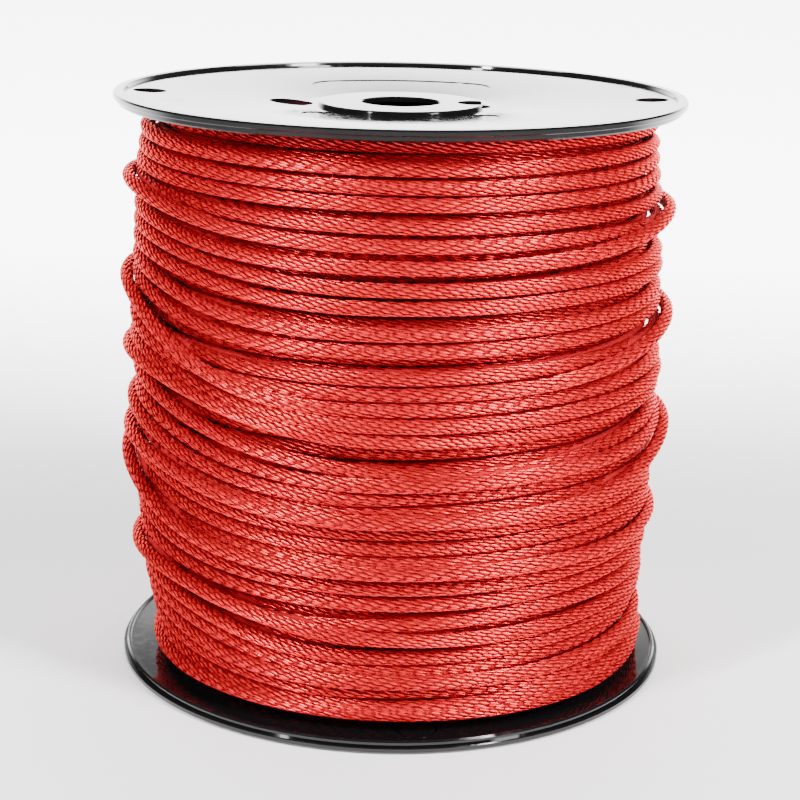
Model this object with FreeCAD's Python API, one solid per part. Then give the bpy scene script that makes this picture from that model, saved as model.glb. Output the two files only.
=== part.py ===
"""A reel of braided line: a black moulded reel with one length of solid-braid rope wound on it.

Frame: millimetres, +Z up along the reel's axis. The origin is the centre of the lower rim's
resting plane. Two copies of one dished flange moulding plug into the ends of a barrel tube,
which carries the winding. The rope is one length: its turns are two closed annular packs, the
hidden turns on the barrel and the turns that show on the outside of them.
"""
import FreeCAD, Part
import math
import os

# ---------------------------------------------------------------- driving dimensions (mm)
FLANGE_RADIUS = 118.0        # over the outboard lip of the rim
REEL_HEIGHT = 242.6          # resting plane to the top of the upper rim
FLANGE_WALL = 2.6            # thickness of the dished web

RIM_HEIGHT = 4.8             # rim bead, measured along the axis
RIM_WIDTH = 4.6              # radial width of the rim's bearing face
LIP_STEP = 1.6               # how much smaller the inboard lip is than the outboard one
LIP_HEIGHT = 2.5             # height of the outboard lip
INNER_BEAD = 1.9             # radial width of the inboard lip
RIM_ROUND = 0.7              # easing of the rim's edges

DISH_RIM = 1.4               # recess of the web's outer face below the rim plane, at the rim
DISH_MIDDLE = 3.0            # the same, half way in
DISH_HUB = 5.8               # the same, on the flat floor round the hub
HUB_FLOOR_MARGIN = 3.0       # how far the flat floor reaches outside the barrel

BOSS_INSET = 3.8             # raised disc round the arbor hole, how far inside the barrel's face
BOSS_RECESS = 4.3            # top of the disc below the rim plane
BOSS_EDGE = 0.5              # easing of the disc's edge and of the arbor hole
ARBOR_RADIUS = 16.3          # running hole for an inch and a quarter shaft

BARREL_RADIUS = 38.0         # outside of the barrel tube
BARREL_WALL = 3.0
SPIGOT_WALL = 2.4            # the flange's ring that plugs into the barrel
SPIGOT_DEPTH = 14.0
SPIGOT_CLEARANCE = 0.1       # radial, spigot in barrel

TIE_HOLE_INSET = 14.2        # centres of the two tie-off holes, inside the flange's edge
TIE_HOLE_RADIUS = 7.0
TIE_HOLE_CHAMFER = 1.3       # on the rope side
CLOSED_HOLE_RING = 0.8       # width of the ring moulded where a tie-off hole is left closed
CLOSED_HOLE_DEPTH = 0.3      # depth of that ring at the rim
START_HOLE_OFFSET = 7.3      # hole for the rope's inner end, its centre outside the barrel's face
START_HOLE_RADIUS = 9.0
DRIVE_HOLE_INSET = 7.7       # hole for a drive pin, its centre inside the barrel's face
DRIVE_HOLE_RADIUS = 6.9
LOWER_TURN = -84.1           # how far the lower flange is turned from the upper one, degrees

POCKET_DEPTH = 0.3           # two kidney pockets moulded in the web's outer face
POCKET_SPAN = 30.0           # from the flat floor's edge to a pocket's outer arc
POCKET_HALF_WIDTH = 39.0
POCKET_UNDERCUT = 8.2        # how far a pocket's straight inner edge runs in under the disc
POCKET_CORNER = 12.0

PACK_CLEARANCE = 0.3         # rope pack to flange, to barrel and to the other pack
SHOWN_DEPTH = 12.7           # radial depth of the turns that show, two layers
SPARE_FOOT = 14.5            # how far the winding lies inside the flange's edge, at the foot
SPARE_SHOULDER_LOW = 11.0
SPARE_LOW = 8.5              # a fifth of the way up
SPARE_MIDDLE = 6.0           # half way up
SPARE_HIGH = 8.0             # four fifths of the way up
SPARE_SHOULDER_HIGH = 10.5
SPARE_HEAD = 13.0            # against the upper flange
SHOULDER_SHARE = 0.05        # height of a shoulder, as a share of the traverse

OUT = "parts"
UP = FreeCAD.Vector(0, 0, 1)
ORIGIN = FreeCAD.Vector(0, 0, 0)

# ---------------------------------------------------------------- sizes that follow
FLOOR_INNER_FACE = DISH_HUB + FLANGE_WALL              # where the barrel seats
HUB_FLOOR_RADIUS = BARREL_RADIUS + HUB_FLOOR_MARGIN    # where the web meets the flat floor
BOSS_RADIUS = BARREL_RADIUS - BOSS_INSET
POCKET_REACH = HUB_FLOOR_RADIUS + POCKET_SPAN
SPIGOT_RADIUS = BARREL_RADIUS - BARREL_WALL - SPIGOT_CLEARANCE
FACE_EDGE_RADIUS = FLANGE_RADIUS - RIM_WIDTH           # where the dished web meets the rim
DISH_MIDDLE_RADIUS = (HUB_FLOOR_RADIUS + FACE_EDGE_RADIUS) / 2
INNER_LIP_RADIUS = FLANGE_RADIUS - LIP_STEP
BEAD_RADIUS = INNER_LIP_RADIUS - INNER_BEAD
SHOWN_FLOOR_RADIUS = FLANGE_RADIUS - SPARE_MIDDLE - SHOWN_DEPTH  # inside of the turns that show


# ---------------------------------------------------------------- helpers
def at(radius, z):
    """A point of a profile in the XZ plane."""
    return FreeCAD.Vector(radius, 0, z)


def line(a, b):
    return Part.LineSegment(a, b).toShape()


def arc(a, middle, b):
    return Part.Arc(a, middle, b).toShape()


def chain(points):
    return [line(a, b) for a, b in zip(points, points[1:])]


def wire_face(edges):
    return Part.Face(Part.Wire(Part.__sortEdges__(edges)))


def turned(edges):
    """The solid that a closed profile in the XZ plane makes round the axis."""
    return wire_face(edges).revolve(ORIGIN, UP, 360)


def through_hole(radius, x):
    """A cutter on the X axis that goes right through one flange and past its spigot."""
    return Part.makeCylinder(radius, FLOOR_INNER_FACE + SPIGOT_DEPTH + 2, FreeCAD.Vector(x, 0, -1), UP)


def placed_lower(shape):
    """Something made with the flange moulding, turned as the lower flange is."""
    shape.rotate(ORIGIN, UP, LOWER_TURN)
    return shape


def placed_upper(shape):
    """The same, turned over and lifted to where the upper flange is."""
    shape.rotate(ORIGIN, FreeCAD.Vector(1, 0, 0), 180)
    shape.translate(FreeCAD.Vector(0, 0, REEL_HEIGHT))
    return shape


def export(shape, name):
    shape = shape.removeSplitter()
    shape.exportStep(os.path.join(OUT, name + ".step"))
    print("%-14s %2d solid(s) %9.1f cm3 valid %s" %
          (name, len(shape.Solids), shape.Volume / 1000, shape.isValid()))


# ---------------------------------------------------------------- flange
def dish(offset):
    """The web's outer face moved inboard by offset, as three points from hub floor to rim."""
    return [
        at(HUB_FLOOR_RADIUS, DISH_HUB + offset),
        at(DISH_MIDDLE_RADIUS, DISH_MIDDLE + offset),
        at(FACE_EDGE_RADIUS, DISH_RIM + offset),
    ]


def rim_points():
    """The stepped rim, from the web's outer face round the outside to its inboard face."""
    return [
        at(FACE_EDGE_RADIUS, DISH_RIM),
        at(FACE_EDGE_RADIUS + RIM_ROUND / 2, RIM_ROUND / 2),
        at(FACE_EDGE_RADIUS + RIM_ROUND * 1.5, 0),
        at(FLANGE_RADIUS - RIM_ROUND, 0),
        at(FLANGE_RADIUS, RIM_ROUND),
        at(FLANGE_RADIUS, LIP_HEIGHT - RIM_ROUND / 2),
        at(FLANGE_RADIUS - RIM_ROUND / 2, LIP_HEIGHT),
        at(INNER_LIP_RADIUS, LIP_HEIGHT),
        at(INNER_LIP_RADIUS, RIM_HEIGHT - RIM_ROUND),
        at(INNER_LIP_RADIUS - RIM_ROUND, RIM_HEIGHT),
        at(BEAD_RADIUS + RIM_ROUND / 2, RIM_HEIGHT),
        at(BEAD_RADIUS, DISH_RIM + FLANGE_WALL),
        at(FACE_EDGE_RADIUS, DISH_RIM + FLANGE_WALL),
    ]


def hub_points():
    """The hub, from the web's inboard face over the spigot and the raised disc to the floor."""
    spigot_bore = SPIGOT_RADIUS - SPIGOT_WALL
    tip = FLOOR_INNER_FACE + SPIGOT_DEPTH
    under = BOSS_RECESS + FLANGE_WALL
    return [
        at(HUB_FLOOR_RADIUS, FLOOR_INNER_FACE),
        at(SPIGOT_RADIUS, FLOOR_INNER_FACE),
        at(SPIGOT_RADIUS, tip - BOSS_EDGE),
        at(SPIGOT_RADIUS - BOSS_EDGE, tip),
        at(spigot_bore, tip),
        at(spigot_bore, FLOOR_INNER_FACE),
        at(spigot_bore - FLANGE_WALL, under),
        at(ARBOR_RADIUS + BOSS_EDGE, under),
        at(ARBOR_RADIUS, under - BOSS_EDGE),
        at(ARBOR_RADIUS, BOSS_RECESS + BOSS_EDGE),
        at(ARBOR_RADIUS + BOSS_EDGE, BOSS_RECESS),
        at(BOSS_RADIUS - BOSS_EDGE, BOSS_RECESS),
        at(BOSS_RADIUS, BOSS_RECESS + BOSS_EDGE),
        at(BOSS_RADIUS, DISH_HUB),
        at(HUB_FLOOR_RADIUS, DISH_HUB),
    ]


def pocket(side):
    """The cutter of one kidney pocket, on the +Y (1) or the -Y (-1) side."""
    reach_y = side * math.sqrt(POCKET_REACH ** 2 - POCKET_HALF_WIDTH ** 2)
    near_y = side * (BOSS_RADIUS - POCKET_UNDERCUT)
    corners = [
        FreeCAD.Vector(-POCKET_HALF_WIDTH, reach_y, 0),
        FreeCAD.Vector(-POCKET_HALF_WIDTH, near_y, 0),
        FreeCAD.Vector(POCKET_HALF_WIDTH, near_y, 0),
        FreeCAD.Vector(POCKET_HALF_WIDTH, reach_y, 0),
    ]
    far = FreeCAD.Vector(0, side * POCKET_REACH, 0)
    plan = wire_face(chain(corners) + [arc(corners[3], far, corners[0])])
    block = plan.extrude(FreeCAD.Vector(0, 0, FLOOR_INNER_FACE))
    upright = [e for e in block.Edges if e.BoundBox.ZLength > FLOOR_INNER_FACE / 2]
    block = block.makeFillet(POCKET_CORNER, upright)
    floor = dish(POCKET_DEPTH)
    hub_side = [
        floor[0],
        at(BOSS_RADIUS, DISH_HUB + POCKET_DEPTH),
        at(BOSS_RADIUS, 0),
        at(FACE_EDGE_RADIUS, 0),
        floor[2],
    ]
    return block.common(turned([arc(*floor)] + chain(hub_side)))


def tie_hole(side):
    """The cutter of one tie-off hole, with its chamfer on the rope side."""
    x = side * (FLANGE_RADIUS - TIE_HOLE_INSET)
    top = DISH_RIM + FLANGE_WALL
    point = FreeCAD.Vector(x, 0, top - TIE_HOLE_CHAMFER)
    flare = Part.makeCone(TIE_HOLE_RADIUS, TIE_HOLE_RADIUS + 2 * TIE_HOLE_CHAMFER,
                          2 * TIE_HOLE_CHAMFER, point, UP)
    return through_hole(TIE_HOLE_RADIUS, x).fuse(flare)


def closed_tie_hole(side):
    """The cutter of the ring that marks a tie-off hole left closed, on the rope side."""
    x = side * (FLANGE_RADIUS - TIE_HOLE_INSET)
    foot = FreeCAD.Vector(x, 0, DISH_RIM + FLANGE_WALL - CLOSED_HOLE_DEPTH)
    radius = TIE_HOLE_RADIUS + TIE_HOLE_CHAMFER
    outside = Part.makeCylinder(radius, FLANGE_WALL, foot, UP)
    return outside.cut(Part.makeCylinder(radius - CLOSED_HOLE_RING, FLANGE_WALL, foot, UP))


def drive_hole():
    """The cutter of the drive pin's hole, which also clears the spigot and the barrel's end."""
    return through_hole(DRIVE_HOLE_RADIUS, BARREL_RADIUS - DRIVE_HOLE_INSET)


def flange(tie_cutters):
    """The moulding as it lies at the bottom, its outer face down."""
    outer, inner = dish(0), dish(FLANGE_WALL)
    body = turned([arc(*outer), arc(*inner)] + chain(rim_points()) + chain(hub_points()))
    for cutter in [pocket(1), pocket(-1)] + tie_cutters:
        body = body.cut(cutter)
    start_hole = through_hole(START_HOLE_RADIUS, -(BARREL_RADIUS + START_HOLE_OFFSET))
    return body.cut(start_hole).cut(drive_hole())


# ---------------------------------------------------------------- barrel
def barrel():
    """The tube between the flanges, over their spigots, notched inside for the drive pins."""
    seat = at(0, FLOOR_INNER_FACE)
    length = REEL_HEIGHT - 2 * FLOOR_INNER_FACE
    tube = Part.makeCylinder(BARREL_RADIUS, length, seat, UP)
    tube = tube.cut(Part.makeCylinder(BARREL_RADIUS - BARREL_WALL, length, seat, UP))
    return tube.cut(placed_lower(drive_hole())).cut(placed_upper(drive_hole()))


# ---------------------------------------------------------------- rope packs
def mirrored(points):
    """The same points at the upper flange, in the opposite order."""
    return [at(p.x, REEL_HEIGHT - p.z) for p in reversed(points)]


def web_points(inner_radius, outer_radius):
    """Three points just clear of the lower web's inboard face, between two radii."""
    low, middle, rim = dish(FLANGE_WALL + PACK_CLEARANCE)
    curve = Part.Arc(low, middle, rim)
    wall = [line(at(r, -REEL_HEIGHT), at(r, REEL_HEIGHT)).Curve
            for r in (inner_radius, (inner_radius + outer_radius) / 2, outer_radius)]
    return [FreeCAD.Vector(*curve.intersect(w)[0].toShape().Point) for w in wall]


def hidden_turns():
    core = BARREL_RADIUS + PACK_CLEARANCE
    low = web_points(HUB_FLOOR_RADIUS, SHOWN_FLOOR_RADIUS - PACK_CLEARANCE)
    high = mirrored(low)
    foot = at(core, FLOOR_INNER_FACE + PACK_CLEARANCE)
    sides = [foot, low[0]], [low[2], high[0]], [high[2]] + mirrored([foot]) + [foot]
    return turned([arc(*low), arc(*high)] + [e for side in sides for e in chain(side)])


def winding_outline(foot, head):
    """The outside of the winding as a smooth curve from the lower flange to the upper one."""
    span = head.z - foot.z
    shares = [SHOULDER_SHARE, 0.2, 0.5, 0.8, 1 - SHOULDER_SHARE]
    spares = [SPARE_SHOULDER_LOW, SPARE_LOW, SPARE_MIDDLE, SPARE_HIGH, SPARE_SHOULDER_HIGH]
    swell = [at(FLANGE_RADIUS - d, foot.z + span * s) for d, s in zip(spares, shares)]
    curve = Part.BSplineCurve()
    curve.interpolate([foot] + swell + [head])
    return curve.toShape()


def outer_turns():
    low = web_points(SHOWN_FLOOR_RADIUS, FLANGE_RADIUS - SPARE_FOOT)
    high = mirrored(web_points(SHOWN_FLOOR_RADIUS, FLANGE_RADIUS - SPARE_HEAD))
    edges = [arc(*low), winding_outline(low[2], high[0]), arc(*high), line(high[2], low[0])]
    return turned(edges)


# ---------------------------------------------------------------- build
os.makedirs(OUT, exist_ok=True)
export(placed_lower(flange([closed_tie_hole(1), tie_hole(-1)])), "bottom_flange")
export(placed_upper(flange([tie_hole(1), tie_hole(-1)])), "top_flange")
export(barrel(), "barrel_tube")
export(hidden_turns(), "hidden_turns")
export(outer_turns(), "outer_turns")
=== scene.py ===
"""Looks of the reel of braided rope: the wound rope with its braid, and the moulded reel."""
import math

import bmesh
import bpy
import numpy as np
from mathutils import Matrix, Vector


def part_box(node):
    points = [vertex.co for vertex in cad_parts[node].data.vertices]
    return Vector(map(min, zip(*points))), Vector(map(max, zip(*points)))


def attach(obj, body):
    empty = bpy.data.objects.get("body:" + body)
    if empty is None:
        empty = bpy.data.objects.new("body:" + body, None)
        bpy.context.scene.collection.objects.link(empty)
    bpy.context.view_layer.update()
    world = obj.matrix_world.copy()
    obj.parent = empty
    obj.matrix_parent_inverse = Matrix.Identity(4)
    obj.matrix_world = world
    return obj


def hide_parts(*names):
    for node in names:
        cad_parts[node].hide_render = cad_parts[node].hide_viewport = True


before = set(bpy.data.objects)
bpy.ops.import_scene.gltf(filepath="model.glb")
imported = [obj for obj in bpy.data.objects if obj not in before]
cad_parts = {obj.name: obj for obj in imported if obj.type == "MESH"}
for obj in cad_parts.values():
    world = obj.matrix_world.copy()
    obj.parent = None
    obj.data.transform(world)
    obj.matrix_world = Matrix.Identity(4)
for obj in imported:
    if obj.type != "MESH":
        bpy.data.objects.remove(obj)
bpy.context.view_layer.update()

# ---------------------------------------------------------------- sizes, in metres
ROPE = 0.00635                 # diameter of the rope
PRESSED = 0.95                 # centre distance of turns that lie on each other, in diameters
CORE = 0.388                   # radius of the rope under its stitches, in diameters
TURNS_SHOWN = 34.6             # turns that one layer takes from flange to flange
TURNS_LAID = 69.27             # turns over the hidden ones: one layer up, one layer down
SHOWN_DEPTH = 1.86             # from the hidden turns out to the widest place, in diameters
SLICES = 40                    # points in one turn of the rope's line
EASY = 2.30                    # height over the hidden turns of a turn crossing two others, in diameters
YIELD = 0.35                   # share of any further height left once the turns press in
LOOK_AHEAD = 8                 # slices that are laid roughly before the rope is pulled tight
SLIP = 0.32                    # how far a turn may slip to find a hollow, in diameters
SLIP_COST = 0.55               # radius that a turn gives up to slip less
BRIDGE = 0.16                  # how far a tight turn may sink into a bump, in diameters
PACK_CLEARANCE = 0.0003        # rope to flange, to barrel and between the packs
SEED = 41

STITCH_PITCH = 0.0065          # from one stitch to the next, along the rope
STITCH_LENGTH = 0.0058
STITCH_WIDTH = 0.00158
STITCH_HEIGHT = 0.00062        # how far a stitch stands out of the core
STITCH_SLANT = 0.0             # degrees across the rope's own line
STITCH_STAGGER = 0.67          # of a pitch, between neighbouring columns
STITCH_COLUMNS = 16            # columns of stitches round the rope
STRETCHES = 10                 # pieces that the braid is made in, so that each stays light
CORE_SIDES = 8
CORE_EVERY = 2                 # the core takes every second point of the line

# Inner face of a web: heights at its hub floor, half way out and at the rim.
WEB_RADII = (0.041, 0.077, 0.112)
WEB_HEIGHTS = (0.0084, 0.0056, 0.0040)

BODY = "root"
ROPE_SLOT = "rope"


# ---------------------------------------------------------------- helpers
def hex_colour(code):
    """An sRGB hex colour as a linear RGBA colour."""
    parts = [int(code[i:i + 2], 16) / 255 for i in (1, 3, 5)]
    linear = [c / 12.92 if c <= 0.04045 else ((c + 0.055) / 1.055) ** 2.4 for c in parts]
    return (*linear, 1.0)


def add(tree, kind, inputs=(), out=0, **settings):
    """Adds one node and gives its output. inputs are values or other nodes' outputs, in
    order or by name."""
    made = tree.nodes.new(kind)
    for key, value in settings.items():
        setattr(made, key, value)
    for key, value in inputs.items() if isinstance(inputs, dict) else enumerate(inputs):
        if isinstance(value, bpy.types.NodeSocket):
            tree.links.new(value, made.inputs[key])
        else:
            made.inputs[key].default_value = value
    return made.outputs[out] if made.outputs else None


def new_object(name, data):
    obj = bpy.data.objects.new(name, data)
    bpy.context.scene.collection.objects.link(obj)
    return obj


def mesh_object(name, points, faces):
    mesh = bpy.data.meshes.new(name)
    mesh.from_pydata([tuple(p) for p in points], [], faces)
    mesh.polygons.foreach_set("use_smooth", [True] * len(mesh.polygons))
    mesh.update()
    return new_object(name, mesh)


# ---------------------------------------------------------------- camera
CAMERA_PLACE = (0.0, -0.8119, 0.3375)
CAMERA_DOWN = math.radians(15.65)
CAMERA_RIGHT = math.radians(0.146)
CAMERA_ROLL = math.radians(1.126)
CAMERA_LENS = 87.96


def make_camera():
    ahead = Vector((math.sin(CAMERA_RIGHT) * math.cos(CAMERA_DOWN),
                    math.cos(CAMERA_RIGHT) * math.cos(CAMERA_DOWN), -math.sin(CAMERA_DOWN)))
    level = Vector((math.cos(CAMERA_RIGHT), -math.sin(CAMERA_RIGHT), 0))
    upright = level.cross(ahead)
    right = level * math.cos(CAMERA_ROLL) + upright * math.sin(CAMERA_ROLL)
    up = upright * math.cos(CAMERA_ROLL) - level * math.sin(CAMERA_ROLL)
    data = bpy.data.cameras.new("camera")
    data.lens = CAMERA_LENS
    camera = new_object("camera", data)
    turn = Matrix((right, up, -ahead)).transposed().to_4x4()
    camera.matrix_world = Matrix.Translation(CAMERA_PLACE) @ turn
    bpy.context.scene.camera = camera


# ---------------------------------------------------------------- the rope's line
OUTER_LOW, OUTER_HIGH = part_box("outer_turns")
FOOT = OUTER_LOW.z + ROPE * 0.80           # height of the lowest turn's centre
HEAD = OUTER_HIGH.z - ROPE * 0.58
WIDEST = OUTER_HIGH.x - PACK_CLEARANCE     # radius of the winding half way up
SAG_FOOT, SAG_HEAD = 0.0104, 0.0055        # how much less it is against each flange


def packed_radius(z):
    """Radius of the hidden turns at height z, fuller half way up than at the flanges."""
    share = np.clip((z - FOOT) / (HEAD - FOOT), 0, 1)
    swell = 1 - np.abs(2 * share - 1) ** 3
    sag = np.where(share < 0.5, SAG_FOOT, SAG_HEAD)
    return WIDEST - ROPE * SHOWN_DEPTH - sag * (1 - swell)


def smooth_noise(rng, turns, period, strength):
    """A smooth random course along the rope, strength at its largest, one value per slice."""
    knots = rng.uniform(-1, 1, int(turns / period) + 4)
    at = np.arange(int(turns * SLICES)) / SLICES / period
    i = at.astype(int)
    f = at - i
    f = f * f * (3 - 2 * f)
    return strength * (knots[i] * (1 - f) + knots[i + 1] * f)


# Single turns that stray over their neighbours in the outer layer: height share, direction
# in which they stray furthest, how far in diameters, and the angles to get there and back.
STRAYS = [
    (0.63, 184, 2.9, 100, 56), (0.31, 180, 2.2, 90, 50), (0.86, 205, 0.7, 80, 40),
    (0.57, 226, 1.2, 60, 60), (0.20, 232, 0.9, 70, 60), (0.83, 350, 1.2, 50, 80),
    (0.66, 352, 1.7, 46, 90), (0.43, 356, 2.3, 40, 90), (0.24, 300, 1.1, 40, 60),
    (0.55, 285, -1.0, 40, 60), (0.72, 95, 1.9, 60, 60), (0.36, 110, 1.7, 50, 80),
    (0.20, 60, 1.5, 40, 60), (0.52, 70, -1.2, 60, 50), (0.90, 120, 1.3, 60, 50),
]
CROSSING = (192, 44)           # where the turns step down together, and over what angle
CROSSING_STEP = 2.6            # the most that they step down there, in diameters


def smooth_step(value, start, width):
    share = np.clip((value - start) / width, 0, 1)
    return share * share * (3 - 2 * share)


def rope_course(rng):
    """The height that each slice of the rope aims for, as it is laid up and down the reel."""
    turns = TURNS_LAID
    phase = np.arange(int(turns * SLICES)) / SLICES / TURNS_SHOWN
    saw = 1 - np.abs(phase - 1)                       # up, then down
    aim = FOOT + (HEAD - FOOT) * saw
    angle = np.arange(len(aim)) * 360 / SLICES
    loose = 0.3 + 0.7 * smooth_step(phase, 0.8, 0.3)
    wander = smooth_noise(rng, turns, 2.7, 0.42 * ROPE)
    wander += smooth_noise(rng, turns, 0.66, 0.38 * ROPE)
    wander += smooth_noise(rng, turns, 0.27, 0.12 * ROPE)
    step = CROSSING_STEP * (0.5 + smooth_noise(rng, turns, 5.3, 0.5))
    where = (angle - CROSSING[0] - smooth_noise(rng, turns, 2.1, 16)) % 360
    climb = where / 360 - smooth_step(where, 0, CROSSING[1])
    shift = loose * (wander + step * ROPE * climb)
    for share, direction, stray, there, back in STRAYS:
        peak = round(TURNS_SHOWN * (2 - share)) * 360 + direction
        shift += stray * ROPE * smooth_step(angle, peak - there, there) * (
            1 - smooth_step(angle, peak, back))
    room = np.minimum(aim - FOOT, HEAD - aim) / (5 * ROPE)
    return np.clip(aim + shift * np.clip(room, 0, 1), FOOT, HEAD)


def blurred(values, passes):
    for _ in range(passes):
        padded = np.concatenate([values[:1], values, values[-1:]])
        values = (padded[:-2] + 2 * padded[1:-1] + padded[2:]) / 4
    return values


def lay_rope():
    """Lays the rope turn by turn: each slice rests on what lies below it, slips towards a
    hollow beside the place it aims for, and is then pulled smooth along its own line."""
    rng = np.random.default_rng(SEED)
    aim = rope_course(rng)
    reach = PRESSED * ROPE
    tries = np.linspace(-SLIP, SLIP, 17) * ROPE
    laid = [([], []) for _ in range(SLICES)]
    heights, radii = [], []

    def rest(slice_index, z):
        floor = packed_radius(z) + ROPE / 2
        below_z, below_r = laid[slice_index % SLICES]
        if below_z:
            gap = z[:, None] - np.array(below_z)[None, :]
            touch = np.array(below_r) + np.sqrt(np.maximum(reach ** 2 - gap ** 2, 0))
            touch = np.where(np.abs(gap) < reach, touch, 0)
            floor = np.maximum(floor, touch.max(axis=1))
        proud = floor - packed_radius(z) - EASY * ROPE
        return floor - (1 - YIELD) * np.maximum(proud, 0)

    step = SLICES // 4
    for start in range(0, len(aim), step):
        span = range(start, min(start + step + LOOK_AHEAD, len(aim)))
        wished = []
        for i in span:
            options = np.clip(aim[i] + tries, FOOT, HEAD)
            cost = rest(i, options) + SLIP_COST * np.abs(options - aim[i])
            wished.append(options[np.argmin(cost)])
        before = heights[-4:]
        z = blurred(np.array(before + wished), 5)[len(before):]
        r = np.array([rest(i, np.array([h]))[0] for i, h in zip(span, z)])
        before = radii[-4:]
        pulled = blurred(np.concatenate([before, r]), 4)[len(before):]
        r = np.maximum(pulled, r - BRIDGE * ROPE)
        r = blurred(np.concatenate([before, r]), 1)[len(before):]
        for i, h, q in list(zip(span, z, r))[:step]:
            laid[i % SLICES][0].append(h)
            laid[i % SLICES][1].append(q)
            heights.append(h)
            radii.append(q)
    angle = np.arange(len(heights)) * 2 * math.pi / SLICES
    return np.stack([np.array(radii) * np.cos(angle), np.array(radii) * np.sin(angle),
                     np.array(heights)], axis=1)


def nurbs_line(points):
    """The rope's line as a NURBS curve, read back as closely spaced points."""
    data = bpy.data.curves.new("rope_line", "CURVE")
    data.dimensions = "3D"
    data.resolution_u = 8
    spline = data.splines.new("NURBS")
    spline.points.add(len(points) - 1)
    spline.points.foreach_set("co", np.column_stack([points, np.ones(len(points))]).ravel())
    spline.order_u = 3
    spline.use_endpoint_u = True
    curve = new_object("rope_line", data)
    bpy.context.view_layer.update()
    dense = bpy.data.meshes.new_from_object(
        curve.evaluated_get(bpy.context.evaluated_depsgraph_get()))
    line = np.empty(len(dense.vertices) * 3)
    dense.vertices.foreach_get("co", line)
    bpy.data.objects.remove(curve)
    return line.reshape(-1, 3)


def line_frames(line):
    """Along, outward and across directions at each point of a line wound round the Z axis."""
    along = np.gradient(line, axis=0)
    along /= np.linalg.norm(along, axis=1)[:, None]
    out = line * (1, 1, 0)
    out -= along * (out * along).sum(axis=1)[:, None]
    out /= np.linalg.norm(out, axis=1)[:, None]
    return along, out, np.cross(along, out)


def rope_core(line):
    """The rope under its stitches, as a closed tube along the line."""
    sides = CORE_SIDES
    along, out, across = line_frames(line)
    ring = list(range(0, len(line), CORE_EVERY))
    turn = np.arange(sides) * 2 * math.pi / sides
    spokes = (out[ring, None, :] * np.cos(turn)[None, :, None] +
              across[ring, None, :] * np.sin(turn)[None, :, None])
    points = (line[ring, None, :] + CORE * ROPE * spokes).reshape(-1, 3)
    n = len(ring)
    faces = [(i * sides + j, i * sides + (j + 1) % sides,
              (i + 1) * sides + (j + 1) % sides, (i + 1) * sides + j)
             for i in range(n - 1) for j in range(sides)]
    faces.append(tuple(range(sides))[::-1])
    faces.append(tuple(range((n - 1) * sides, n * sides)))
    return mesh_object("rope", points, faces)


# ---------------------------------------------------------------- materials
def finish(name, colour, rough, **sockets):
    """A material with one Principled shader; sockets are its values that hold all over."""
    mat = bpy.data.materials.new(name)
    mat.use_nodes = True
    shader = mat.node_tree.nodes["Principled BSDF"]
    values = {"Base Color": hex_colour(colour), "Roughness": rough, **sockets}
    for key, value in values.items():
        shader.inputs[key].default_value = value
    return mat, mat.node_tree, shader


def yarn_material():
    """Multifilament polypropylene yarn, solution-dyed red. Its parallel filaments give a tight silky
    highlight in the yarn's own colour.
    Each stitch has painted shade towards its ends, where it dives, and painted shade where another turn
    lies close in front of it."""
    mat, tree, shader = finish("multifilament polypropylene yarn", "#D41C26", 0.28, **{
        "Metallic": 0.76, "Specular IOR Level": 0.35, "Specular Tint": hex_colour("#FF5C54")})
    uv = add(tree, "ShaderNodeUVMap", uv_map="stitch")
    along = add(tree, "ShaderNodeSeparateXYZ", [uv])
    across = along.node.outputs[1]
    tone = add(tree, "ShaderNodeAttribute", out="Fac", attribute_name="tone")
    dyed = add(tree, "ShaderNodeMix", {0: tone, 6: hex_colour("#CE1A24"), 7: hex_colour("#EA2C34")},
               out=2, data_type="RGBA")
    # Painted shade: each stitch darkens towards its ends, where it dives under its neighbours.
    painted_end_shade = add(tree, "ShaderNodeMath", [along, 0.5], operation="SUBTRACT")
    painted_end_shade = add(tree, "ShaderNodeMath", [painted_end_shade], operation="ABSOLUTE")
    painted_end_shade = add(tree, "ShaderNodeMapRange", [painted_end_shade, 0.14, 0.40, 0.0, 0.92],
               interpolation_type="SMOOTHSTEP")
    colour = add(tree, "ShaderNodeMix", {0: painted_end_shade, 6: dyed, 7: hex_colour("#9A101C")},
                 out=2, data_type="RGBA")
    # Painted shade: the stitch darkens where another turn lies close in front of it, as in the grooves
    # between turns.
    shade = add(tree, "ShaderNodeAttribute", out="Fac", attribute_name="shade")
    shade = add(tree, "ShaderNodeMath", [shade, 0.8], operation="MULTIPLY")
    colour = add(tree, "ShaderNodeMix", {0: shade, 6: colour, 7: hex_colour("#800C17")},
                 out=2, data_type="RGBA")
    tree.links.new(colour, shader.inputs["Base Color"])
    # Filaments, a few hundredths of a millimetre apart, drawn at 0.2 mm so that they show.
    ripple = add(tree, "ShaderNodeMath", [across, 16 * math.pi], operation="MULTIPLY")
    ripple = add(tree, "ShaderNodeMath", [ripple], operation="SINE")
    # Filaments run straight along the rope, so a stitch tilts the light less along it than across.
    normal = add(tree, "ShaderNodeNewGeometry", out="Normal")
    line = add(tree, "ShaderNodeAttribute", out="Vector", attribute_name="along")
    tilt = add(tree, "ShaderNodeVectorMath", [normal, line], out="Value", operation="DOT_PRODUCT")
    tilt = add(tree, "ShaderNodeMath", [tilt, -0.75], operation="MULTIPLY")
    tilt = add(tree, "ShaderNodeVectorMath", {0: line, "Scale": tilt}, operation="SCALE")
    normal = add(tree, "ShaderNodeVectorMath", [normal, tilt], operation="ADD")
    normal = add(tree, "ShaderNodeVectorMath", [normal], operation="NORMALIZE")
    bump = add(tree, "ShaderNodeBump", {"Strength": 0.25, "Distance": 0.00004, "Height": ripple,
                                        "Normal": normal})
    tree.links.new(bump, shader.inputs["Normal"])
    return mat


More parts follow.
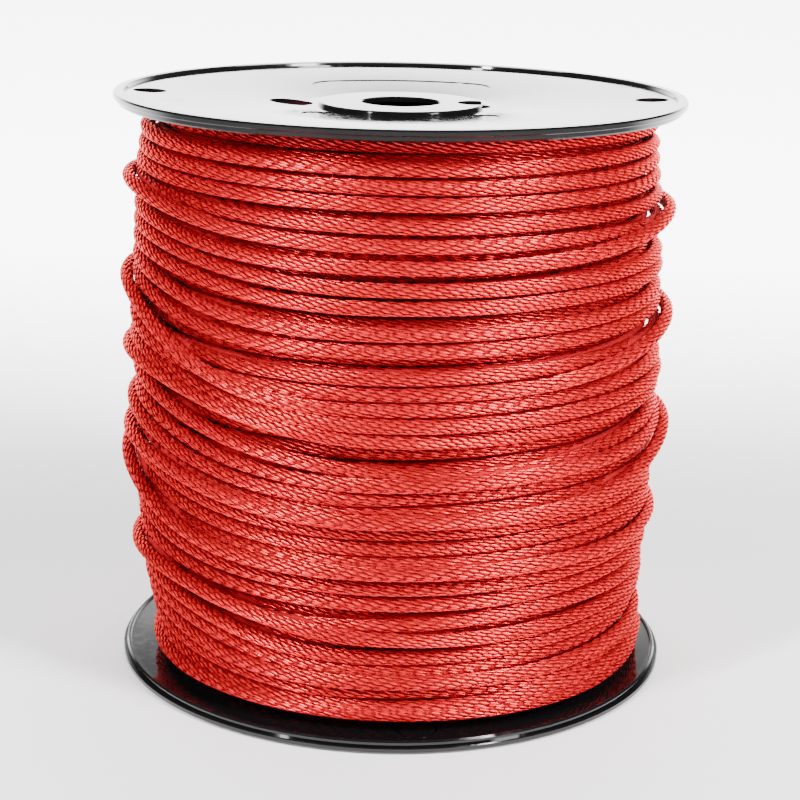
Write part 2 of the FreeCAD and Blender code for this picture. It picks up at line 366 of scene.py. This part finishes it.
def core_material():
    """The same yarn deep between the stitches, where little light reaches it: dull and dark,
    uneven every 2 to 3 mm."""
    mat, tree, shader = finish("shaded polypropylene yarn", "#7A0E12", 0.75, **{
        "Specular IOR Level": 0.08, "Specular Tint": hex_colour("#FF9C8C")})
    place = add(tree, "ShaderNodeTexCoord", out="Object")
    grain = add(tree, "ShaderNodeTexNoise", {"Vector": place, "Scale": 420.0, "Detail": 2.0})
    colour = add(tree, "ShaderNodeMix", {0: grain, 6: hex_colour("#820D16"), 7: hex_colour("#B41B25")},
                 out=2, data_type="RGBA")
    tree.links.new(colour, shader.inputs["Base Color"])
    return mat


def plastic_material():
    """Glossy high-impact polystyrene, injection moulded in black. The mould's polish mirrors
    its surroundings, with a slight waviness and a haze of rubbing marks."""
    mat, tree, shader = finish("moulded black polystyrene", "#0A0A0B", 0.1, **{"IOR": 1.5})
    place = add(tree, "ShaderNodeTexCoord", out="Object")
    # Waviness of the moulding, some 25 mm from crest to crest.
    wave = add(tree, "ShaderNodeTexNoise", {"Vector": place, "Scale": 40.0, "Detail": 1.0})
    # Rubbing marks, some 3 mm across.
    rub = add(tree, "ShaderNodeTexNoise", {"Vector": place, "Scale": 330.0, "Detail": 4.0,
                                           "Roughness": 0.65})
    patch = add(tree, "ShaderNodeTexNoise", {"Vector": place, "Scale": 22.0, "Detail": 2.0})
    rubbed = add(tree, "ShaderNodeMath", [rub, patch], operation="MULTIPLY")
    rough = add(tree, "ShaderNodeMapRange", [rubbed, 0.2, 0.42, 0.05, 0.17])
    tree.links.new(rough, shader.inputs["Roughness"])
    bump = add(tree, "ShaderNodeBump", {"Strength": 0.2, "Distance": 0.0002, "Height": wave})
    bump = add(tree, "ShaderNodeBump", {"Strength": 0.12, "Distance": 0.00002, "Height": rub,
                                        "Normal": bump})
    tree.links.new(bump, shader.inputs["Normal"])
    return mat


# ---------------------------------------------------------------- stitches
def stitch_mesh():
    """One stitch: a slim closed lozenge, its length along X and its crown towards Z."""
    rows = [(-0.33, 0.60, 0.90), (0.0, 1.0, 1.0), (0.33, 0.60, 0.90)]
    across = [(-0.5, -0.2), (-0.24, 0.8), (0.24, 0.8), (0.5, -0.2)]
    points = [(-0.5, 0, -0.35)]
    for x, width, crown in rows:
        points += [(x, y * width, z if z < 0 else z * crown) for y, z in across]
    points.append((0.5, 0, -0.35))
    last = len(points) - 1
    faces = [(0, j + 2, j + 1) for j in range(3)] + [(0, 1, 4)]
    for i in range(len(rows) - 1):
        a, b = 1 + 4 * i, 5 + 4 * i
        faces += [(a + j, a + j + 1, b + j + 1, b + j) for j in range(3)]
        faces.append((a, b, b + 3, a + 3))
    a = last - 4
    faces += [(a + j, a + j + 1, last) for j in range(3)] + [(a, last, a + 3)]
    size = (STITCH_LENGTH, STITCH_WIDTH, STITCH_HEIGHT)
    obj = mesh_object("stitch", [[p * s for p, s in zip(point, size)] for point in points], faces)
    bm = bmesh.new()
    bm.from_mesh(obj.data)
    bmesh.ops.recalc_face_normals(bm, faces=bm.faces)
    uv = bm.loops.layers.uv.new("stitch")
    for face in bm.faces:
        for loop in face.loops:
            x, y, _ = points[loop.vert.index]
            loop[uv].uv = (x + 0.5, y + 0.5)
    bm.to_mesh(obj.data)
    bm.free()
    return obj


def braid_tree(yarn):
    """Sets columns of stitches round the rope along its line, and leaves out those that
    other turns of the rope cover."""
    tree = bpy.data.node_groups.new("solid_braid", "GeometryNodeTree")
    for name, kind in (("Line", "Geometry"), ("Pitch", "Float"), ("Columns", "Int"),
                       ("Radius", "Float"), ("Stagger", "Float"), ("Slant", "Float"),
                       ("Seed", "Int"), ("Stitch", "Object"), ("Rope", "Object")):
        tree.interface.new_socket(name, in_out="INPUT", socket_type="NodeSocket" + kind)
    tree.interface.new_socket("Braid", in_out="OUTPUT", socket_type="NodeSocketGeometry")
    given = add(tree, "NodeGroupInput").node.outputs
    vector = {"data_type": "FLOAT_VECTOR"}

    # One point for each stitch, carrying the rope's direction and its own row and column.
    curve = add(tree, "GeometryNodeMeshToCurve", {"Mesh": given["Line"]})
    rows = add(tree, "GeometryNodeCurveToPoints", {"Curve": curve, "Length": given["Pitch"]},
               mode="LENGTH")
    row = add(tree, "GeometryNodeInputIndex")
    points = add(tree, "GeometryNodeStoreNamedAttribute", {
        "Geometry": rows, "Name": "along", "Value": rows.node.outputs["Tangent"]}, **vector)
    points = add(tree, "GeometryNodeStoreNamedAttribute", {
        "Geometry": points, "Name": "row", "Value": row}, data_type="INT")
    copies = add(tree, "GeometryNodeDuplicateElements", {
        "Geometry": points, "Amount": given["Columns"]}, domain="POINT")
    column = copies.node.outputs["Duplicate Index"]
    along = add(tree, "GeometryNodeInputNamedAttribute", {"Name": "along"}, **vector)
    row = add(tree, "GeometryNodeInputNamedAttribute", {"Name": "row"}, data_type="INT")

    # Up from the rope at this column; the rope rolls slowly as it is laid.
    place = add(tree, "GeometryNodeInputPosition")
    flat = add(tree, "ShaderNodeVectorMath", [place, (1, 1, 0)], operation="MULTIPLY")
    across = add(tree, "ShaderNodeVectorMath", [along, flat], operation="CROSS_PRODUCT")
    across = add(tree, "ShaderNodeVectorMath", [across], operation="NORMALIZE")
    outward = add(tree, "ShaderNodeVectorMath", [across, along], operation="CROSS_PRODUCT")
    drift = add(tree, "ShaderNodeMath", [row, 0.011], operation="MULTIPLY")
    roll = add(tree, "ShaderNodeTexNoise", {"W": drift, "Scale": 1.0, "Detail": 1.0},
               noise_dimensions="1D")
    share = add(tree, "ShaderNodeMath", [column, given["Columns"]], operation="DIVIDE")
    share = add(tree, "ShaderNodeMath", [roll, 2.2, share], operation="MULTIPLY_ADD")
    angle = add(tree, "ShaderNodeMath", [share, 2 * math.pi], operation="MULTIPLY")
    cosine = add(tree, "ShaderNodeMath", [angle], operation="COSINE")
    sine = add(tree, "ShaderNodeMath", [angle], operation="SINE")
    up = add(tree, "ShaderNodeVectorMath", {0: outward, "Scale": cosine}, operation="SCALE")
    side = add(tree, "ShaderNodeVectorMath", {0: across, "Scale": sine}, operation="SCALE")
    up = add(tree, "ShaderNodeVectorMath", [up, side], operation="ADD")

    # Each column starts a little further back than the one before.
    shift = add(tree, "ShaderNodeMath", [column, given["Stagger"]], operation="MULTIPLY")
    shift = add(tree, "ShaderNodeMath", [shift], operation="FRACT")
    shift = add(tree, "ShaderNodeMath", [shift, given["Pitch"]], operation="MULTIPLY")
    lift = add(tree, "ShaderNodeVectorMath", {0: up, "Scale": given["Radius"]}, operation="SCALE")
    shift = add(tree, "ShaderNodeVectorMath", {0: along, "Scale": shift}, operation="SCALE")
    offset = add(tree, "ShaderNodeVectorMath", [lift, shift], operation="ADD")
    points = add(tree, "GeometryNodeStoreNamedAttribute", {
        "Geometry": copies, "Name": "up", "Value": up}, **vector)
    points = add(tree, "GeometryNodeSetPosition", {"Geometry": points, "Offset": offset})
    up = add(tree, "GeometryNodeInputNamedAttribute", {"Name": "up"}, **vector)

    # A stitch is left out where rope lies over it: further out from the reel for one that
    # faces outwards, and close in front of it for one that faces the reel.
    place = add(tree, "GeometryNodeInputPosition")
    radial = add(tree, "ShaderNodeVectorMath", [place, (1, 1, 0)], operation="MULTIPLY")
    radial = add(tree, "ShaderNodeVectorMath", [radial], operation="NORMALIZE")
    facing = add(tree, "ShaderNodeVectorMath", [up, radial], out="Value", operation="DOT_PRODUCT")
    inward = add(tree, "FunctionNodeCompare", [facing, -0.1], operation="LESS_THAN")
    hidden = add(tree, "FunctionNodeCompare", [facing, -0.5], operation="LESS_THAN")
    rope = add(tree, "GeometryNodeObjectInfo", {"Object": given["Rope"]}, out="Geometry",
               transform_space="ORIGINAL")
    hits = []
    for way, clear, reach in ((radial, 0.0012, 0.005), (up, 0.0012, 0.0032)):
        start = add(tree, "ShaderNodeVectorMath", {0: way, "Scale": clear}, operation="SCALE")
        start = add(tree, "ShaderNodeVectorMath", [place, start], operation="ADD")
        hits.append(add(tree, "GeometryNodeRaycast", {
            "Target Geometry": rope, "Source Position": start, "Ray Direction": way,
            "Ray Length": reach}, out="Is Hit"))
    unseen = add(tree, "GeometryNodeSwitch", {
        "Switch": inward, "False": hits[0], "True": hits[1]}, input_type="BOOLEAN")
    unseen = add(tree, "FunctionNodeBooleanMath", [unseen, hidden], operation="OR")
    points = add(tree, "GeometryNodeDeleteGeometry", {"Geometry": points, "Selection": unseen},
                 domain="POINT")

    # How much of the open air in front of a stitch another turn takes away.
    start = add(tree, "ShaderNodeVectorMath", {0: up, "Scale": 0.0007}, operation="SCALE")
    start = add(tree, "ShaderNodeVectorMath", [place, start], operation="ADD")
    near = add(tree, "GeometryNodeRaycast", {
        "Target Geometry": rope, "Source Position": start, "Ray Direction": up,
        "Ray Length": 0.007}, out="Is Hit").node.outputs
    shade = add(tree, "ShaderNodeMapRange", [near["Hit Distance"], 0.0, 0.007, 1.0, 0.25])
    shade = add(tree, "ShaderNodeMath", [shade, near["Is Hit"]], operation="MULTIPLY")
    points = add(tree, "GeometryNodeStoreNamedAttribute", {
        "Geometry": points, "Name": "shade", "Value": shade})

    # Crown outwards, length along the rope, turned by the slant and a little at random.
    turn = add(tree, "FunctionNodeAlignRotationToVector", {"Vector": up}, axis="Z")
    turn = add(tree, "FunctionNodeAlignRotationToVector", {"Rotation": turn, "Vector": along},
               axis="X", pivot_axis="Z")
    wobble = add(tree, "FunctionNodeRandomValue", {2: -0.05, 3: 0.05, "Seed": given["Seed"]}, out=1)
    slant = add(tree, "ShaderNodeMath", [given["Slant"], wobble], operation="ADD")
    slant = add(tree, "ShaderNodeMath", [roll, -0.5, slant], operation="MULTIPLY_ADD")
    slant = add(tree, "ShaderNodeCombineXYZ", {"Z": slant})
    turn = add(tree, "FunctionNodeRotateRotation", [turn, slant], rotation_space="LOCAL")
    stitch = add(tree, "GeometryNodeObjectInfo", {"Object": given["Stitch"]}, out="Geometry",
                 transform_space="ORIGINAL")
    placed = add(tree, "GeometryNodeInstanceOnPoints", {
        "Points": points, "Instance": stitch, "Rotation": turn})
    tone = add(tree, "FunctionNodeRandomValue", {"Seed": given["Seed"]}, out=1)
    placed = add(tree, "GeometryNodeStoreNamedAttribute", {
        "Geometry": placed, "Name": "tone", "Value": tone}, domain="INSTANCE")
    real = add(tree, "GeometryNodeRealizeInstances", {"Geometry": placed})
    real = add(tree, "GeometryNodeSetMaterial", {"Geometry": real, "Material": yarn})
    add(tree, "NodeGroupOutput", {"Braid": real})
    return tree


def set_input(modifier, tree, name, value):
    for item in tree.interface.items_tree:
        if item.item_type == "SOCKET" and item.in_out == "INPUT" and item.name == name:
            modifier[item.identifier] = value


def braid(name, line, tree, stitch, core, seed):
    """The stitches of one stretch of the rope as a plain mesh."""
    edges = [(i, i + 1) for i in range(len(line) - 1)]
    mesh = bpy.data.meshes.new(name)
    mesh.from_pydata([tuple(p) for p in line], edges, [])
    carrier = new_object(name + "_line", mesh)
    modifier = carrier.modifiers.new("braid", "NODES")
    values = {"Pitch": STITCH_PITCH, "Columns": STITCH_COLUMNS, "Radius": CORE * ROPE,
              "Stagger": STITCH_STAGGER, "Slant": math.radians(STITCH_SLANT), "Seed": seed,
              "Stitch": stitch, "Rope": core}
    modifier.node_group = tree
    for key, value in values.items():
        set_input(modifier, tree, key, value)
    carrier.update_tag()
    bpy.context.view_layer.update()
    made = bpy.data.meshes.new_from_object(
        carrier.evaluated_get(bpy.context.evaluated_depsgraph_get()))
    made.name = name
    bpy.data.objects.remove(carrier)
    made.polygons.foreach_set("use_smooth", [True] * len(made.polygons))
    return new_object(name, made)


# ---------------------------------------------------------------- hidden turns
def hidden_pack():
    """The turns that nothing shows, as one closed body with a ridge for each turn."""
    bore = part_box("barrel_tube")[1].x + PACK_CLEARANCE
    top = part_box("top_flange")[1].z
    web = np.polyfit(WEB_RADII, WEB_HEIGHTS, 2)
    inner = np.linspace(bore, packed_radius(FOOT) - ROPE * 0.4, 12)
    foot = np.polyval(web, np.maximum(inner, WEB_RADII[0])) + PACK_CLEARANCE
    count = round((HEAD - FOOT) / ROPE * 4)
    heights = np.linspace(FOOT - ROPE * 0.3, HEAD + ROPE * 0.3, count + 1)
    ridge = np.abs(np.sin((heights - FOOT) / ROPE * math.pi))
    radii = packed_radius(heights) - ROPE * (0.14 + 0.26 * (1 - ridge))
    profile = [*zip(inner, foot), *zip(radii, heights), *zip(inner[::-1], top - foot[::-1])]
    n, sides = len(profile), 96
    turn = np.arange(sides) * 2 * math.pi / sides
    points = [(r * math.cos(t), r * math.sin(t), z) for t in turn for r, z in profile]
    faces = [(i * n + j, ((i + 1) % sides) * n + j, ((i + 1) % sides) * n + (j + 1) % n,
              i * n + (j + 1) % n) for i in range(sides) for j in range(n)]
    return mesh_object("inner_rope_pack", points, faces)


# ---------------------------------------------------------------- making it
def finish_piece(piece, slot, *nodes):
    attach(piece, BODY)
    if nodes:
        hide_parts(*nodes)
    return piece


make_camera()
yarn, core_mat, plastic = yarn_material(), core_material(), plastic_material()
line = nurbs_line(lay_rope())
rope = finish_piece(rope_core(line), ROPE_SLOT, "outer_turns")
rope.data.materials.append(core_mat)

stitch = stitch_mesh()
tree = braid_tree(yarn)
cuts = np.linspace(0, len(line) - 1, STRETCHES + 1).astype(int)
for number, (a, b) in enumerate(zip(cuts, cuts[1:])):
    piece = braid("braid_%d" % (number + 1), line[a:b + 1], tree, stitch, rope, number)
    finish_piece(piece, ROPE_SLOT)
bpy.data.objects.remove(stitch)

pack = finish_piece(hidden_pack(), ROPE_SLOT, "hidden_turns")
pack.data.materials.append(core_mat)

for name in ("top_flange", "bottom_flange", "barrel_tube"):
    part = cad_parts[name]
    part.data.materials.clear()
    part.data.materials.append(plastic)


# ---------------------------------------------------------------- stage
LIGHTS_AIM = (0, 0, 0.12)      # half way up the reel
FLOOR_HALF = 6.0
FLOOR_HEIGHT = -0.0004         # just under the flange's lip


def soft_light(name, place, size, power):
    data = bpy.data.lights.new(name, "AREA")
    data.shape = "RECTANGLE"
    data.size, data.size_y = size
    data.energy = power
    lamp = new_object(name, data)
    lamp.location = place
    lamp.rotation_euler = (Vector(LIGHTS_AIM) - Vector(place)).to_track_quat("-Z", "Y").to_euler()


def stage():
    corners = [(x * FLOOR_HALF, y * FLOOR_HALF, FLOOR_HEIGHT)
               for x, y in ((-1, -1), (1, -1), (1, 1), (-1, 1))]
    floor = mesh_object("floor", corners, [(0, 1, 2, 3)])
    paper, tree, shader = finish("pale paper sweep", "#F8F8F8", 0.7)
    # Painted light: the floor glows, from nothing close to the reel up to strongly far behind it, so
    # that it shows as a bright backdrop.
    place = add(tree, "ShaderNodeTexCoord", out="Object")
    away = add(tree, "ShaderNodeSeparateXYZ", [place], out=1)
    painted_backdrop_glow = add(tree, "ShaderNodeMapRange", [away, 0.12, 1.0, 0.0, 7.0],
               interpolation_type="SMOOTHSTEP")
    shader.inputs["Emission Color"].default_value = (1, 1, 1, 1)
    tree.links.new(painted_backdrop_glow, shader.inputs["Emission Strength"])
    floor.data.materials.append(paper)
    # A bright backdrop behind the reel, and a dimmer room round it.
    world = bpy.data.worlds.new("studio")
    bpy.context.scene.world = world
    world.use_nodes = True
    tree = world.node_tree
    way = add(tree, "ShaderNodeTexCoord", out="Generated")
    way = add(tree, "ShaderNodeSeparateXYZ", [way], out=1)
    back = add(tree, "ShaderNodeMapRange", [way, 0.66, 0.93, 0.0, 1.0],
               interpolation_type="SMOOTHSTEP")
    low = add(tree, "ShaderNodeMapRange", [way.node.outputs[2], 0.17, 0.42, 1.0, 0.08],
              interpolation_type="SMOOTHSTEP")
    light = add(tree, "ShaderNodeMath", [back, low], operation="MULTIPLY")
    light = add(tree, "ShaderNodeMath", [light, 7.0, 0.16], operation="MULTIPLY_ADD")
    sky = tree.nodes["Background"]
    sky.inputs["Color"].default_value = (1, 1, 1, 1)
    tree.links.new(light, sky.inputs["Strength"])
    soft_light("left_front_box", (-0.92, -0.99, 1.0), (0.10, 1.1), 52)
    soft_light("right_front_box", (1.0, -0.88, 1.0), (0.30, 1.1), 72)
    soft_light("overhead_box", (0, 1.1, 2.0), (2.0, 1.0), 50)


stage()
